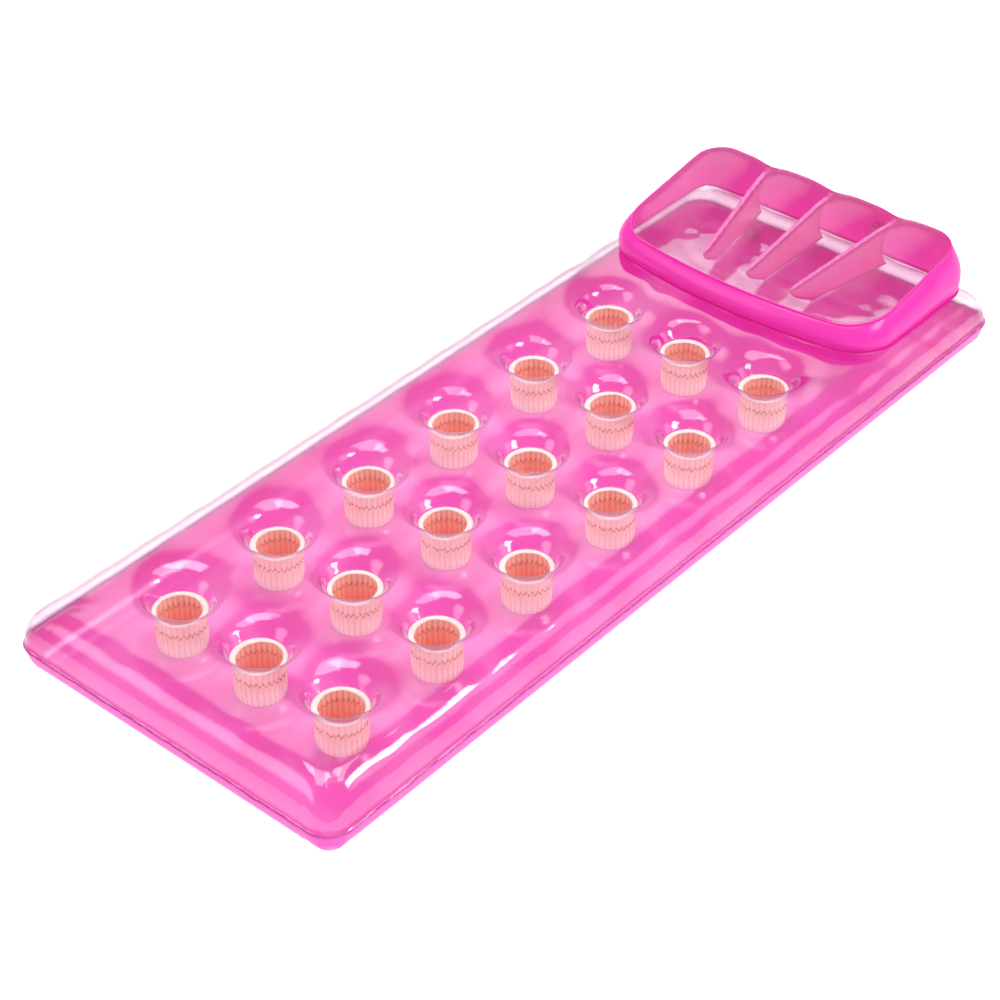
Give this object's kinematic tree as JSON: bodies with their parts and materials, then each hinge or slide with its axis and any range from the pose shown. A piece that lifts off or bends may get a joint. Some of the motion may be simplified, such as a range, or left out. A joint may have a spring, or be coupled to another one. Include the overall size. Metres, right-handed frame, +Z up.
{
  "type": "inflatable pool float",
  "caption": "Inflatable lounge float: clear and pink vinyl mattress with open pleated pockets and a raised wedge pillow.",
  "frame": {"origin": "on the ground, under the middle of the float", "axes": "+Y along the float towards the pillow, +X to the right seen from the foot, +Z up"},
  "size_m": [0.704, 1.8401, 0.2375],
  "materials": {
    "clear_vinyl": "clear glossy sheet",
    "pink_vinyl": "glossy translucent pink sheet",
    "pocket_vinyl": "pleated pale salmon sheet with white welds",
    "valve_vinyl": "moulded soft vinyl",
    "flap_rubber": "soft matt film"
  },
  "bodies": {
    "float_body": {"top_sheet": "clear_vinyl", "bottom_sheet": "pink_vinyl", "pocket_1_left": "pocket_vinyl", "pocket_1_middle": "pocket_vinyl", "pocket_1_right": "pocket_vinyl", "pocket_2_left": "pocket_vinyl", "pocket_2_middle": "pocket_vinyl", "pocket_2_right": "pocket_vinyl", "pocket_3_left": "pocket_vinyl", "pocket_3_middle": "pocket_vinyl", "pocket_3_right": "pocket_vinyl", "pocket_4_left": "pocket_vinyl", "pocket_4_middle": "pocket_vinyl", "pocket_4_right": "pocket_vinyl", "pocket_5_left": "pocket_vinyl", "pocket_5_middle": "pocket_vinyl", "pocket_5_right": "pocket_vinyl", "pocket_6_left": "pocket_vinyl", "pocket_6_middle": "pocket_vinyl", "pocket_6_right": "pocket_vinyl", "pillow_wall": "pink_vinyl", "pillow_base": "clear_vinyl", "pillow_top": "clear_vinyl", "baffle_left": "pink_vinyl", "baffle_middle": "pink_vinyl", "baffle_right": "pink_vinyl", "mattress_valve_seat": "valve_vinyl", "pillow_valve_seat": "valve_vinyl"},
    "mattress_stem": {"mattress_valve_stem": "valve_vinyl"},
    "mattress_plug": {"mattress_valve_plug": "valve_vinyl"},
    "mattress_flap": {"mattress_valve_flap": "flap_rubber"},
    "pillow_stem": {"pillow_valve_stem": "valve_vinyl"},
    "pillow_plug": {"pillow_valve_plug": "valve_vinyl"},
    "pillow_flap": {"pillow_valve_flap": "flap_rubber"}
  },
  "joints": [
    {"name": "mattress_stem_slide", "type": "slide", "parent": "float_body", "child": "mattress_stem", "axis": [0, 0.8945, -0.4472], "range_m": [0, 0.012]},
    {"name": "mattress_plug_slide", "type": "slide", "parent": "mattress_stem", "child": "mattress_plug", "axis": [0, 0.8945, -0.4472], "range_m": [0, 0.01]},
    {"name": "mattress_flap_hinge", "type": "hinge", "parent": "mattress_stem", "child": "mattress_flap", "pos_m": [-0.2, 0.8908, 0.05188], "axis": [-1, 0, 0], "range_deg": [0, 60], "stiffness_Nm_per_rad": 0.00002},
    {"name": "pillow_stem_slide", "type": "slide", "parent": "float_body", "child": "pillow_stem", "axis": [0, 1, 0], "range_m": [0, 0.012]},
    {"name": "pillow_plug_slide", "type": "slide", "parent": "pillow_stem", "child": "pillow_plug", "axis": [0, 1, 0], "range_m": [0, 0.01]},
    {"name": "pillow_flap_hinge", "type": "hinge", "parent": "pillow_stem", "child": "pillow_flap", "pos_m": [0.095, 0.86593, 0.1782], "axis": [-1, 0, 0], "range_deg": [0, 60], "stiffness_Nm_per_rad": 0.00002}
  ]
}
